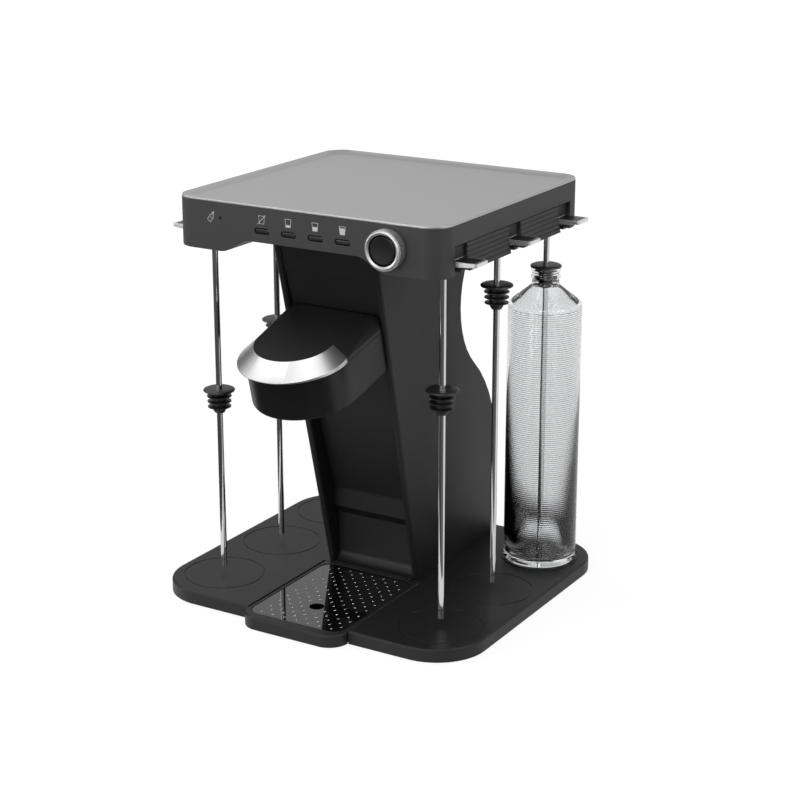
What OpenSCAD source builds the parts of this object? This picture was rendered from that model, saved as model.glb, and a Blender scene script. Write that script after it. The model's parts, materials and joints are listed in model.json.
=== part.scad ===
// Countertop cocktail machine: six bottle places round a slim tower, a wide head that draws
// drink through hanging straws, and a tilted capsule head over a slide-out drip tray.
// Millimetres. +Z is up, -Y is the front, the origin is under the middle of the footprint.

/* [Overall] */
// Height from the table to the rim of the top plate
machine_h = 410; // [400:1:420]
// Width of the head across its flat sides
head_w = 292.6; // [286:0.2:298]
// Depth of the head from the front fascia to the back
head_d = 283.8; // [278:0.2:288]
// How far the middle of the head lies behind the origin
head_shift = 25.4; // [24:0.1:27]
// Corner radius of the head
head_r = 22; // [16:1:26]
// Height of the lowest edge of the head, at its two side pods
pod_z = 361.4; // [360:0.1:362]
// Height of the raised middle of the fascia's lower edge
arch_z = 374.8; // [373:0.1:375]

/* [Base] */
// Width of the base
base_w = 353.4; // [350:0.2:358]
// Front edge of the base
base_front = -134.5; // [-136:0.5:-133]
// Back edge of the base
base_back = 183.5; // [182:0.5:185]
// Height of the base's top face
base_h = 14.1; // [13.6:0.1:14.6]
// Corner radius of the base, which rounds the corner bottle places
base_r = 52.4; // [48:0.2:54]
// Radius of the base's top edge
base_edge = 2.2; // [1.5:0.1:3]
// Height of the rubber feet
foot_h = 1.2; // [1:0.1:1.4]

/* [Bottle places] */
// Distance of each row of straws from the middle plane
straw_x = 126.8; // [125:0.1:128]
// Distance from one straw to the next along a side
row_pitch = 103.3; // [102:0.1:104]
// Radius of the ring marked on the base for each bottle
place_r = 41; // [38:1:42]
// Outer radius of a straw
straw_r = 3.1; // [2.8:0.05:3.2]
// Height of a straw's lower end
straw_end_z = 22; // [20:1:30]
// Underside of the stopper flange on the left front straw
stopper_lf_z = 208; // [190:1:300]
// Underside of the stopper flange on the left middle straw
stopper_lm_z = 256; // [190:1:300]
// Underside of the stopper flange on the left rear straw
stopper_lr_z = 262; // [190:1:300]
// Underside of the stopper flange on the right front straw
stopper_rf_z = 248; // [190:1:300]
// Underside of the stopper flange on the right middle straw
stopper_rm_z = 325; // [190:1:326]
// Radius of a stopper's soft fins
fin_r = 12.2; // [11.5:0.1:12.3]

/* [Water bottle] */
// Outer radius of the water bottle
water_r = 37.35; // [35:0.05:38]
// Height where the bottle's side meets its shoulder
water_shoulder_z = 286; // [280:1:290]
// Height where the shoulder meets the neck
water_neck_z = 305; // [300:1:308]
// Height of the bottle's mouth
water_mouth_z = 322; // [318:1:324]
// Outer radius of the neck
water_neck_r = 13.6; // [13.4:0.1:14]
// Wall thickness of the bottle
water_wall = 1.6; // [1.4:0.1:1.8]

/* [Tower] */
// Half width of the tower where it meets the head
tower_top_hw = 58.1; // [57:0.1:59]
// Half width of the tower where it meets the base
tower_foot_hw = 53.2; // [52:0.1:54]
// Front edge of the tower's side walls at the height of the head's lower edge
tower_top_y = -80; // [-82:0.5:-78]
// Front edge of the tower's side walls just above the base
tower_foot_y = 2.9; // [2.6:0.1:3.4]
// Back of the tower's waist
waist_y = 81; // [78:0.5:83]
// Height of the tower's waist
waist_z = 284; // [280:1:288]
// Radius of the hollow curve at the back of the waist
waist_r = 88; // [86:1:90]
// Back of the tower's lower body
tower_back_y = 164.5; // [160:0.5:166]
// Thickness of a side wall's rounded front edge
tower_edge = 6.8; // [6.4:0.1:7.2]
// Wall thickness of the mouldings
wall = 3; // [2.6:0.1:3.2]

/* [Capsule head] */
// Forward and downward tilt of the capsule head
head_tilt = 14; // [13:0.5:15]
// Back line of the lid, along Y
lid_back_y = -62.1; // [-64:0.1:-61]
// Back line of the lid, along Z
lid_back_z = 307; // [305:0.5:309]
// Radius of the capsule head's round front
capsule_r = 52.6; // [52:0.1:53]
// Distance from the lid's back line to the centre of the round front
capsule_len = 63.8; // [63:0.1:65]
// Height of the capsule head under the lid's top
capsule_h = 58.2; // [57:0.1:60]
// Thickness of the lid
lid_h = 16; // [15:0.5:17]
// Half width of the lid's flat top at its back line
lid_top_hw = 45.3; // [44:0.1:46]
// Radius of the handle's lower outer edge
handle_r = 53; // [52.8:0.1:54]
// Radius of the handle's upper inner edge
handle_top_r = 38.9; // [38:0.1:40]

/* [Drip tray] */
// Half width of the drip tray
tray_hw = 57.5; // [56:0.5:58]
// Front edge of the drip tray
tray_front = -154.5; // [-156:0.5:-153]
// Radius of the tray's front corners
tray_r = 20.6; // [18:0.2:22]
// Radius of the tray's top edge
tray_edge = 3; // [2:0.1:4]
// Spacing of the drain holes across the plate
drain_dx = 13.4; // [12:0.1:16]
// Spacing of the drain holes along the plate
drain_dy = 15.2; // [13:0.1:18]

/* [Controls] */
// Height of the strength buttons and the knob
button_z = 385.7; // [384:0.1:387]
// Spacing of the strength buttons
button_pitch = 29.4; // [28:0.1:30]
// Width of a strength button
button_w = 16.2; // [15:0.1:17]
// Height of a strength button
button_h = 5; // [4.6:0.1:5.4]
// Distance of the knob from the middle plane
knob_x = 92.2; // [90:0.2:94]
// Radius of the knob at its front edge
knob_r = 17.6; // [17:0.1:18]
// How far the knob stands out of the fascia
knob_len = 11.5; // [10:0.5:13]

/* [Levers] */
// How far the lever bays lie in front of their straws
bay_shift = 1.2; // [0:0.1:2]
// Width of a lever bay
bay_w = 24; // [23:0.5:25]
// Height of the top of a lever bay
bay_top_z = 388.6; // [388:0.1:389]
// Reach of a lever's tip from the middle plane
lever_tip_x = 167.5; // [166:0.5:170]
// Lower face of a lever's paddle
paddle_z = 370; // [369.5:0.1:371]
// Outer face of the ribbed panels at their lower edge
panel_x = 148.8; // [148:0.1:149]
// Number of ribs on a panel
rib_count = 6; // [4:1:7]

/* [Hidden] */

$fn = 64;
eps = 0.01;
far = 500;
left = -1;
right = 1;

charcoal = [0.20, 0.20, 0.21];
dark = [0.12, 0.12, 0.13];
silver = [0.66, 0.67, 0.68];
chrome = [0.85, 0.86, 0.87];
black = [0.05, 0.05, 0.05];

// Running and sliding clearances
shaft_gap = 0.05;
slide_gap = 0.4;
seam = 0.2;

front_row = head_shift - row_pitch;
middle_row = head_shift;
rear_row = head_shift + row_pitch;
rows = [front_row, middle_row, rear_row];
sides = [left, right];

head_front = head_shift - head_d / 2;
head_back = head_shift + head_d / 2;

function lerp(a, b, t) = a + (b - a) * t;
function smooth(t) = t * t * (3 - 2 * t);

module rounded_rect(w, d, r) {
  square([w - 2 * r, d], center = true);
  square([w, d - 2 * r], center = true);
  for (x = [-1, 1], y = [-1, 1])
    translate([x * (w / 2 - r), y * (d / 2 - r)]) circle(r);
}

// A slot outline with round ends, lying along X
module obround(w, h) {
  square([w - h, h], center = true);
  for (x = [-1, 1])
    translate([x * (w - h) / 2, 0]) circle(h / 2);
}

// Stands an outline drawn in X and Z upright, from depth y0 to y1
module upright(y0, y1) {
  translate([0, y1, 0]) rotate([90, 0, 0]) linear_extrude(y1 - y0) children();
}

// Stands an outline drawn in Y and Z sideways, from x0 to x1
module sideways(x0, x1) {
  translate([x0, 0, 0]) rotate([90, 0, 90]) linear_extrude(x1 - x0) children();
}

// A round rod along X or along Y
module rod_x(x0, x1, y, z, r) {
  translate([x0, y, z]) rotate([0, 90, 0]) cylinder(h = x1 - x0, r = r);
}
module rod_y(y0, y1, x, z, r) {
  translate([x, y1, z]) rotate([90, 0, 0]) cylinder(h = y1 - y0, r = r);
}

module tube(h, r, bore) {
  difference() {
    cylinder(h = h, r = r);
    translate([0, 0, -1]) cylinder(h = h + 2, r = bore);
  }
}

// Section of a slab from an inner line at X 0 out to a rounded top edge
module edge_section(out, e, z0, z1) {
  translate([0, z0]) square([out, z1 - e - z0]);
  translate([0, z0]) square([out - e, z1 - z0]);
  translate([out - e, z1 - e]) circle(e);
}

// The same section along two sides of a slab, or round one of its corners
module edge_along_y(y0, y1, x, out, e, z0, z1) {
  for (m = [0, 1])
    mirror([m, 0, 0]) upright(y0, y1) translate([x, 0]) edge_section(out, e, z0, z1);
}
module edge_along_x(hw, y, out, e, z0, z1) {
  mirror([0, 1, 0]) sideways(-hw, hw) translate([-y, 0]) edge_section(out, e, z0, z1);
}
module edge_corners(x, y, out, e, z0, z1) {
  for (m = [0, 1])
    mirror([m, 0, 0]) translate([x, y, 0]) rotate([0, 0, -90]) rotate_extrude(angle = 90)
      edge_section(out, e, z0, z1);
}

// Base: a shallow moulded shell with a notch that the drip tray slides into
base_mid = (base_front + base_back) / 2;
base_d = base_back - base_front;
base_skin = 2.6;
skirt_z = 0.8;
tray_back = 2.3;
ring_groove = 1.2;
cover_t = 1.2;
cover_z = foot_h;

module base_outline(inset) {
  translate([0, base_mid]) rounded_rect(base_w - 2 * inset, base_d - 2 * inset, base_r - inset);
}

module base_slab() {
  x = base_w / 2 - base_r;
  y0 = base_front + base_r;
  y1 = base_back - base_r;
  translate([-x, y0, skirt_z]) cube([2 * x, y1 - y0, base_h - skirt_z]);
  edge_along_y(y0, y1, x, base_r, base_edge, skirt_z, base_h);
  edge_along_x(x, y0, base_r, base_edge, skirt_z, base_h);
  edge_corners(x, y0, base_r, base_edge, skirt_z, base_h);
  translate([0, 2 * base_mid, 0]) mirror([0, 1, 0]) {
    edge_along_x(x, y0, base_r, base_edge, skirt_z, base_h);
    edge_corners(x, y0, base_r, base_edge, skirt_z, base_h);
  }
}

module tray_notch(gap) {
  translate([-tray_hw - gap, base_front - 1])
    square([2 * (tray_hw + gap), tray_back + gap - base_front + 1]);
}

module base_plate() {
  color(charcoal) difference() {
    union() {
      difference() {
        base_slab();
        translate([0, 0, -eps]) linear_extrude(base_h - base_skin + eps) base_outline(wall);
      }
      // Walls of the notch and ribs under the top
      translate([0, 0, cover_z + cover_t])
        linear_extrude(base_h - base_skin / 2 - cover_z - cover_t)
        intersection() {
          base_outline(1.5);
          union() {
            tray_notch(wall + slide_gap);
            for (x = [-130, -95, 95, 130])
              translate([x - 1, base_front]) square([2, base_d]);
            for (y = [54, 114])
              translate([-base_w / 2, y - 1]) square([base_w, 2]);
          }
        }
    }
    translate([0, 0, -1]) linear_extrude(base_h + 2) tray_notch(slide_gap);
    for (s = sides, y = rows)
      translate([s * straw_x, y, base_h - 0.6]) tube(2, place_r, place_r - ring_groove);
  }
}

module base_cover() {
  color(dark) difference() {
    translate([0, 0, cover_z]) linear_extrude(cover_t) base_outline(wall + seam);
    for (p = screw_places)
      translate([p[0], p[1], cover_z - 1]) cylinder(h = 1.8, r = 3.6, $fn = 24);
  }
}

foot_places = [
  for (x = [-1, 1], y = [base_front + 34, base_back - 34]) [x * 138, y],
  [-40, base_front + 18], [40, base_front + 18]
];
screw_places = [for (x = [-1, 1], y = [base_front + 14, middle_row, base_back - 14]) [x * 96, y]];

module rubber_feet() {
  color(black)
    for (p = foot_places)
      translate([p[0], p[1], 0]) cylinder(h = foot_h, r = 9);
}

module base_screws() {
  color(silver)
    for (p = screw_places)
      translate([p[0], p[1], cover_z]) difference() {
        cylinder(h = 0.8, r = 3.4, $fn = 24);
        for (a = [0, 90])
          rotate(a) translate([0, 0, 0]) cube([3.6, 0.8, 0.8], center = true);
      }
}

// Drip tray and its perforated plate
tray_mid = (tray_front + tray_back) / 2;
tray_d = tray_back - tray_front;
tray_z = cover_z + cover_t + 0.3;
tray_floor = 1.6;
plate_hw = 52.6;
plate_front = tray_front + 11;
plate_back = tray_back - 2.6;
plate_r = 13;
plate_back_r = 14;
plate_t = 1.6;
plate_top = base_h - 0.7;
finger_y = -100;
finger_r = 7.4;

// Rounded at the front, square at the back
module tray_outline(hw, front, back, r) {
  translate([-hw, front + r]) square([2 * hw, back - front - r]);
  translate([-hw + r, front]) square([2 * (hw - r), r + eps]);
  for (s = sides)
    translate([s * (hw - r), front + r]) circle(r);
}

// The plate's outline, rounded at all four corners
module plate_outline(grow, back_r) {
  hw = plate_hw + grow;
  back = plate_back + grow;
  tray_outline(hw, plate_front - grow, back - back_r, plate_r + grow);
  translate([-hw + back_r, back - back_r - eps]) square([2 * (hw - back_r), back_r + eps]);
  for (s = sides)
    translate([s * (hw - back_r), back - back_r]) circle(back_r);
}

module tray_slab() {
  x = tray_hw - tray_r;
  y0 = tray_front + tray_r;
  translate([-x, y0, tray_z]) cube([2 * x, tray_back - y0, base_h - tray_z]);
  edge_along_y(y0, tray_back, x, tray_r, tray_edge, tray_z, base_h);
  // The part in front of the base reaches lower
  edge_along_x(x, y0, tray_r, tray_edge, skirt_z, base_h);
  edge_corners(x, y0, tray_r, tray_edge, skirt_z, base_h);
}

module drip_tray() {
  rim = 3.4;
  color(charcoal) difference() {
    tray_slab();
    // Seat of the plate, then the well under it
    translate([0, 0, plate_top - plate_t]) linear_extrude(10)
      plate_outline(0.4, plate_back_r + 0.4);
    translate([0, 0, tray_z + tray_floor]) linear_extrude(20)
      plate_outline(-rim, 6);
  }
}

drain_cols = floor((plate_hw - 4) / drain_dx);
drain_rows = floor((plate_back - plate_front - 8) / drain_dy);
drain_y0 = plate_front + 7;

module drain_holes() {
  for (stagger = [0, 0.5], i = [-drain_cols:drain_cols], j = [0:drain_rows]) {
    x = (i + stagger) * drain_dx;
    y = drain_y0 + (j + stagger) * drain_dy;
    clear_of_finger = norm([x, y - finger_y]) > finger_r + 2.4;
    clear_of_edge = abs(x) < plate_hw - 3 && y < plate_back - 3;
    clear_of_corner = abs(x) < plate_hw - 8 || y > plate_front + 10 && y < plate_back - 10;
    if (clear_of_finger && clear_of_edge && clear_of_corner)
      translate([x, y]) circle(1, $fn = 8);
  }
}

module drip_plate() {
  color(black) translate([0, 0, plate_top - plate_t + 0.05]) linear_extrude(plate_t) difference() {
    plate_outline(0, plate_back_r);
    drain_holes();
    translate([0, finger_y]) circle(finger_r);
  }
}

// Tower: side walls that lean back and narrow downwards, with a waisted back
tower_top_z = arch_z;
lean = (tower_top_y - tower_foot_y) / (365 - 18);
function wall_front_y(z) = tower_foot_y + lean * (z - 18);
function tower_hw(z) = lerp(tower_foot_hw, tower_top_hw, (z - 18) / (365 - 18));

// The back: upright, then a round shoulder, then the hollow of the waist
shoulder_angle = 50;
waist_mid_y = waist_y + waist_r;
shoulder_start_y = waist_mid_y - waist_r * cos(shoulder_angle);
shoulder_r = (tower_back_y - shoulder_start_y) / (1 - cos(shoulder_angle));
shoulder_z = waist_z - (waist_r + shoulder_r) * sin(shoulder_angle);
waist_top_angle = asin((pod_z - waist_z) / waist_r);
back_steps = 14;
back_curve = concat(
  [[tower_back_y, base_h]],
  [for (i = [0:back_steps / 2])
    let (a = shoulder_angle * i / (back_steps / 2))
    [tower_back_y - shoulder_r * (1 - cos(a)), shoulder_z + shoulder_r * sin(a)]],
  [for (i = [1:back_steps])
    let (a = lerp(-shoulder_angle, waist_top_angle, i / back_steps))
    [waist_mid_y - waist_r * cos(a), waist_z + waist_r * sin(a)]],
  [[waist_mid_y - waist_r * cos(waist_top_angle), tower_top_z]]
);

// Side view of the tower; shrink draws its back in, from_front moves its front edge back
module tower_profile(from_front = 0, shrink = 0) {
  polygon(concat(
    [for (p = back_curve) [p[0] - shrink, p[1]]],
    [[wall_front_y(tower_top_z) + from_front, tower_top_z],
     [wall_front_y(base_h) + from_front, base_h]]));
}

// Front view of the tower; inset takes that much off each side
module tower_front_view(inset, z0 = base_h, z1 = tower_top_z) {
  polygon([
    [-tower_hw(z0) + inset, z0], [tower_hw(z0) - inset, z0],
    [tower_hw(z1) - inset, z1], [-tower_hw(z1) + inset, z1]]);
}

// Sloping panel between the walls, upright at its foot
panel_top_z = 340.6;
panel_top_y = -70.8;
panel_slope = 0.318;
panel_bend_z = 97;
panel_foot_z = 75.5;
panel_corner_r = 9;
panel_gap = 0.5;
function panel_y(z) = panel_top_y + panel_slope * (panel_top_z - z);

// The body of the tower behind the panel, down to the foot of its lower panel
splash_y = 13.5;
module behind_panel(setback) {
  polygon(concat(
    [for (p = back_curve) [p[0] + 10, p[1]]],
    [[panel_y(tower_top_z) + setback, tower_top_z],
     [panel_y(panel_bend_z) + setback, panel_bend_z],
     [panel_y(panel_bend_z) + setback, panel_foot_z],
     [splash_y + setback, panel_foot_z],
     [splash_y + setback, base_h]]));
}

module tower_edge_rod(s) {
  r = tower_edge / 2;
  foot = [s * (tower_hw(base_h) - r), wall_front_y(base_h) + r, base_h];
  top = [s * (tower_hw(tower_top_z) - r), wall_front_y(tower_top_z) + r, tower_top_z];
  d = top - foot;
  long = norm(d) + 20;
  translate(foot) rotate([0, acos(d[2] / norm(d)), atan2(d[1], d[0])])
    translate([0, 0, -10]) cylinder(h = long, r = r - 0.05);
}

module tower_shell() {
  color(charcoal) difference() {
    union() {
      intersection() {
        sideways(-far, far) tower_profile(from_front = tower_edge / 2);
        upright(-far, far) tower_front_view(0);
      }
      intersection() {
        union() for (s = sides) tower_edge_rod(s);
        translate([-far, -far, base_h]) cube([2 * far, 2 * far, tower_top_z - base_h]);
      }
    }
    // Open in front of the panel
    difference() {
      upright(-far, far) tower_front_view(tower_edge, 0, tower_top_z + 20);
      panel_frame();
      tower_flanges();
    }
    // Thin walls behind the panel
    difference() {
      intersection() {
        upright(-far, far) tower_front_view(wall, 0, tower_top_z + 20);
        sideways(-far, far) behind_panel(wall + seam);
      }
      tower_flanges();
    }
  }
}

// Frame round the top of the panel, standing a little proud of it
frame_proud = 1.4;
module panel_frame() {
  z0 = panel_top_z - panel_corner_r - 14;
  difference() {
    sideways(-far, far) polygon([
      [panel_y(tower_top_z) - frame_proud, tower_top_z], [panel_y(z0) - frame_proud, z0],
      [panel_y(z0) + wall, z0], [panel_y(tower_top_z) + wall, tower_top_z]]);
    upright(-far, far) panel_outline(0);
  }
}

module tower_flanges() {
  t = 3;
  difference() {
    translate([-far, tower_top_y + 30, tower_top_z - t]) cube([2 * far, 170, t + 1]);
    translate([0, 34, tower_top_z - t - 1]) cylinder(h = t + 3, r = 26);
  }
  translate([-far, 26, base_h - 1]) cube([2 * far, tower_back_y - wall - seam - 26, t]);
}

module panel_outline(gap) {
  hw_top = tower_hw(panel_top_z) - tower_edge - gap;
  hw_foot = tower_hw(panel_foot_z) - tower_edge - gap;
  top = panel_top_z - gap;
  r = panel_corner_r;
  polygon([
    [-hw_foot, panel_foot_z], [hw_foot, panel_foot_z],
    [hw_top, top - r], [hw_top - r, top], [-hw_top + r, top], [-hw_top, top - r]]);
  for (s = sides)
    translate([s * (hw_top - r), top - r]) circle(r);
}

module front_panel() {
  groove_z = panel_bend_z - 0.7;
  color(charcoal) difference() {
    intersection() {
      sideways(-far, far) polygon([
        [panel_y(tower_top_z), tower_top_z], [panel_y(panel_bend_z), panel_bend_z],
        [panel_y(panel_bend_z), panel_foot_z], [panel_y(panel_bend_z) + wall, panel_foot_z],
        [panel_y(panel_bend_z) + wall, panel_bend_z], [panel_y(tower_top_z) + wall, tower_top_z]]);
      upright(-far, far) panel_outline(seam);
    }
    // Thin gap across the panel at its bend
    translate([-40, panel_y(panel_bend_z) - 1, groove_z - 1.4]) cube([80, 2.6, 1.4]);
  }
}

// Lower panel: a sloping ledge under the front panel, an upright part and a hollow foot
module backsplash() {
  hollow_r = 10.6;
  ledge_z = 67;
  top = panel_foot_z - seam;
  front = panel_y(panel_bend_z);
  color(charcoal) intersection() {
    sideways(-far, far) polygon(concat(
      [[front + wall, top], [front, top], [splash_y, ledge_z]],
      reversed([for (i = [0:8])
        let (a = 90 * i / 8)
        [splash_y - hollow_r + hollow_r * sin(a), base_h + 0.8 + hollow_r * (1 - cos(a))]]),
      [[splash_y - hollow_r, base_h], [splash_y + wall, base_h], [splash_y + wall, ledge_z + 1.3]]));
    upright(-far, far) tower_front_view(tower_edge + seam);
  }
}

// Cover that closes the back of the tower, following its waist, with cooling slots
module rear_cover() {
  color(dark) difference() {
    intersection() {
      sideways(-far, far) difference() {
        tower_profile(from_front = 0);
        tower_profile(from_front = -40, shrink = wall);
        translate([-far, tower_top_z - 3.4]) square(2 * far);
        translate([-far, -far]) square([2 * far, far + base_h + seam]);
      }
      upright(-far, far) tower_front_view(wall + seam);
    }
    for (i = [0:6])
      translate([-26, tower_back_y - 12, 62 + 7 * i]) cube([52, 40, 2.6]);
    translate([0, tower_back_y - 12, inlet_z]) rotate([-90, 0, 0]) linear_extrude(40)
      obround(inlet_w + 0.6, inlet_h + 0.6);
  }
}

// Head: a skirt with a fascia, a floor, a port panel on each side and a top plate
channel_hw = 58.6;
pod_hw = 91;
channel_steps = 8;

// Lower edge of the head seen from the front: high in the middle, low at the pods
function channel_side(s) = [for (i = [0:channel_steps])
  let (t = i / channel_steps)
  [s * lerp(channel_hw, pod_hw, t), lerp(arch_z, pod_z, smooth(t))]];

function reversed(list) = [for (i = [len(list) - 1:-1:0]) list[i]];

module below_head() {
  polygon(concat(
    [[-far, 0], [-far, pod_z]], reversed(channel_side(left)),
    channel_side(right), [[far, pod_z], [far, 0]]));
}

rim_z = machine_h - 2.4;
bay_rows = [for (y = rows) y - bay_shift];
bay_y0 = bay_rows[0] - bay_w / 2;
bay_y1 = bay_rows[2] + bay_w / 2;
skirt_cut_z = bay_top_z + 0.4;
led_x = -91.3;
led_z = 393.2;
led_r = 1.25;
sleeve_r = 15;
sleeve_bore = 14.2;
fascia_hole_r = 15.2;

module head_outline(inset) {
  translate([0, head_shift]) rounded_rect(head_w - 2 * inset, head_d - 2 * inset, head_r - inset);
}

module button_outline(gap) {
  for (i = [0:3])
    translate([(i - 1.5) * button_pitch, button_z]) obround(button_w + gap, button_h + gap);
}

module head_housing() {
  ledge = 5;
  color(charcoal) difference() {
    translate([0, 0, pod_z]) linear_extrude(rim_z - pod_z) head_outline(0);
    translate([0, 0, pod_z - 1]) linear_extrude(rim_z - pod_z - 5) head_outline(wall);
    translate([0, 0, rim_z - 8]) linear_extrude(10) head_outline(wall + ledge);
    translate([0, 0, rim_z - 3]) linear_extrude(10) head_outline(wall);
    upright(head_front - 1, head_back + 1) below_head();
    // Sides cut away for the port panels and lever bays
    translate([-far, bay_y0, 0]) cube([2 * far, bay_y1 - bay_y0, skirt_cut_z]);
    // Buttons, indicator and knob
    upright(head_front - 1, head_front + wall + 1) {
      button_outline(0.6);
      translate([led_x, led_z]) circle(led_r + 0.05);
      translate([knob_x, button_z]) circle(fascia_hole_r);
    }
  }
}

floor_t = 2.4;
guide_w = 2 * straw_r + 0.6;

module head_floor() {
  inset = wall + 0.3;
  color(dark) difference() {
    intersection() {
      linear_extrude(far) head_outline(inset);
      upright(head_front, head_back) difference() {
        translate([-head_w / 2, pod_z]) square([head_w, arch_z + floor_t - pod_z]);
        below_head();
        translate([0, floor_t]) intersection() {
          translate([-far, pod_z]) square([2 * far, 40]);
          difference() {
            translate([-far, 0]) square([2 * far, far]);
            below_head();
          }
        }
      }
    }
    // Guide slots that hold the straws by their collars, open at the sides
    for (s = sides, y = rows)
      translate([s * straw_x, y, 0]) {
        cylinder(h = far, r = guide_w / 2);
        translate([s > 0 ? 0 : -40, -guide_w / 2, 0]) cube([40, guide_w, far]);
      }
    // Room for the ribbed panels between the bays
    for (s = sides, y = [bay_rows[0], bay_rows[1]])
      translate([s > 0 ? panel_back_x - 0.3 : -far, y + bay_w / 2 - 0.3, 0])
        cube([far - panel_back_x + 0.3, row_pitch - bay_w + 0.6, far]);
  }
}

plate_skin = 2;
rim_slope = 9;
plate_dip = 3.4;

module top_plate() {
  color(silver) difference() {
    union() {
      translate([0, 0, rim_z]) linear_extrude(machine_h - rim_z) head_outline(0.3);
      translate([0, 0, machine_h - plate_dip - plate_skin])
        linear_extrude(rim_z - machine_h + plate_dip + plate_skin + eps) head_outline(wall + seam);
    }
    // Dished middle with a sloping rim
    hull() {
      translate([0, 0, machine_h + eps]) linear_extrude(1) head_outline(1.4);
      translate([0, 0, machine_h - plate_dip]) linear_extrude(1) head_outline(1.4 + rim_slope);
    }
  }
}

// Port panel: ribbed fields between three lever bays, with the cheeks that hold the lever pins
cheek_t = 2;
panel_back_x = 141.4;
skirt_in_x = head_w / 2 - wall;
strip_x = skirt_in_x - 3.4;
lever_axis_x = 137.5;
lever_axis_z = 379;
pin_r = 1.5;
seal_r = 6.5;
seal_z = pod_z + 5.5;
shelf_z = seal_z + 3;

// Side view of the ribs, one above the other, each leaning out to its lower edge
module rib_profile() {
  z0 = pod_z + 1.2;
  step = (bay_top_z - z0) / rib_count;
  lean_out = 0.8;
  groove_w = 0.7;
  groove_d = 1.5;
  polygon(concat(
    [[panel_back_x, bay_top_z], [panel_back_x, z0]],
    [for (i = [0:rib_count - 1], p = [[0, 0, 0], [1, lean_out, groove_w],
        [1, lean_out + groove_d, groove_w], [1, lean_out + groove_d, 0]])
      [rib_x((i + p[0]) / rib_count) - p[1], z0 + (i + p[0]) * step - p[2]]]));
}

// Outline that the ribs follow: almost upright, flaring out near the lower edge
function rib_x(t) = lerp(head_w / 2 - 0.6, panel_x, pow(1 - t, 3));

module port_panel(s) {
  mirror([s > 0 ? 0 : 1, 0, 0]) color(charcoal) difference() {
    union() {
      for (y = [bay_rows[0], bay_rows[1]])
        upright(y + bay_w / 2, y + row_pitch - bay_w / 2) rib_profile();
      translate([strip_x, bay_y0 - cheek_t, bay_top_z])
        cube([skirt_in_x - strip_x - seam, bay_y1 - bay_y0 + 2 * cheek_t, 11]);
      for (y = bay_rows) {
        for (e = [-1, 1])
          translate([116, y + e * (bay_w + cheek_t) / 2 - cheek_t / 2, pod_z + floor_t + 0.2])
            cube([skirt_in_x - seam - 116, cheek_t, bay_top_z + 2 - pod_z - floor_t - 0.2]);
        // Ceiling of the bay and the shelf that holds the port
        translate([131, y - bay_w / 2 - 1, bay_top_z])
          cube([skirt_in_x - seam - 131, bay_w + 2, 2]);
        translate([116, y - bay_w / 2 - 1, shelf_z]) cube([17.6, bay_w + 2, 2]);
      }
    }
    for (y = rows) {
      translate([straw_x, y, shelf_z - 1]) cylinder(h = 4, r = seal_r);
      rod_y(y - bay_w, y + bay_w, lever_axis_x, lever_axis_z, pin_r);
    }
  }
}

module port_seals() {
  color(black)
    for (s = sides, y = rows)
      translate([s * straw_x, y, 0]) difference() {
        union() {
          translate([0, 0, seal_z]) cylinder(h = shelf_z - seal_z, r = seal_r + 1);
          translate([0, 0, shelf_z - eps]) cylinder(h = 4 + eps, r = seal_r);
        }
        cylinder(h = far, r = 2.5);
      }
}

module lever_pins() {
  color(silver)
    for (s = sides, y = bay_rows)
      rod_y(y - bay_w / 2 - cheek_t, y + bay_w / 2 + cheek_t, s * lever_axis_x, lever_axis_z, pin_r);
}

// Release lever: a paddle under the bay's window, with an upright plate and a pin boss
module lever(s, y) {
  w = bay_w - 1;
  root_t = 5;
  tip_t = 3.3;
  plate_x = 139;
  reach = lever_tip_x - plate_x;
  nose = 1.6;
  catch_z = seal_z + 0.9;
  translate([0, y - bay_shift, 0]) mirror([s > 0 ? 0 : 1, 0, 0]) color(chrome) difference() {
    union() {
      // Paddle, thinner towards its tip, with small clipped corners
      intersection() {
        translate([plate_x, 0, paddle_z]) linear_extrude(root_t) polygon([
          [0, -w / 2], [reach - nose, -w / 2], [reach, -w / 2 + nose],
          [reach, w / 2 - nose], [reach - nose, w / 2], [0, w / 2]]);
        upright(-w, w) polygon([
          [plate_x - 1, paddle_z], [plate_x + 7, paddle_z],
          [lever_tip_x + 1, paddle_z + root_t - tip_t], [lever_tip_x + 1, paddle_z + root_t],
          [plate_x - 1, paddle_z + root_t]]);
      }
      translate([plate_x, -w / 2, paddle_z + eps]) cube([wall, w, bay_top_z - 2 - paddle_z]);
      rod_y(-w / 2, w / 2, lever_axis_x, lever_axis_z, 4);
      // Catch under the paddle
      translate([plate_x + 2, -7, catch_z]) cube([12, 14, paddle_z - catch_z + 1]);
    }
    // Seat of the soft insert on top
    translate([plate_x + wall + 1, -w / 2 + 2.4, paddle_z + root_t - 0.6])
      cube([reach - wall - 4, w - 4.8, 2]);
    rod_y(-w, w, lever_axis_x, lever_axis_z, pin_r + shaft_gap);
  }
}

// Straw with the collar that hangs in the guide, and its stopper
collar_z = pod_z + floor_t + 0.3;

module straw(s, y) {
  translate([s * straw_x, y, 0]) color(silver) difference() {
    union() {
      translate([0, 0, straw_end_z]) cylinder(h = seal_z - 0.4 - straw_end_z, r = straw_r);
      translate([0, 0, collar_z]) cylinder(h = 1.6, r = 5.5);
    }
    cylinder(h = far, r = straw_r - 0.5);
  }
}

stopper_top = 3.4;
plug_len = 22;
plug_r = 7;

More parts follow.
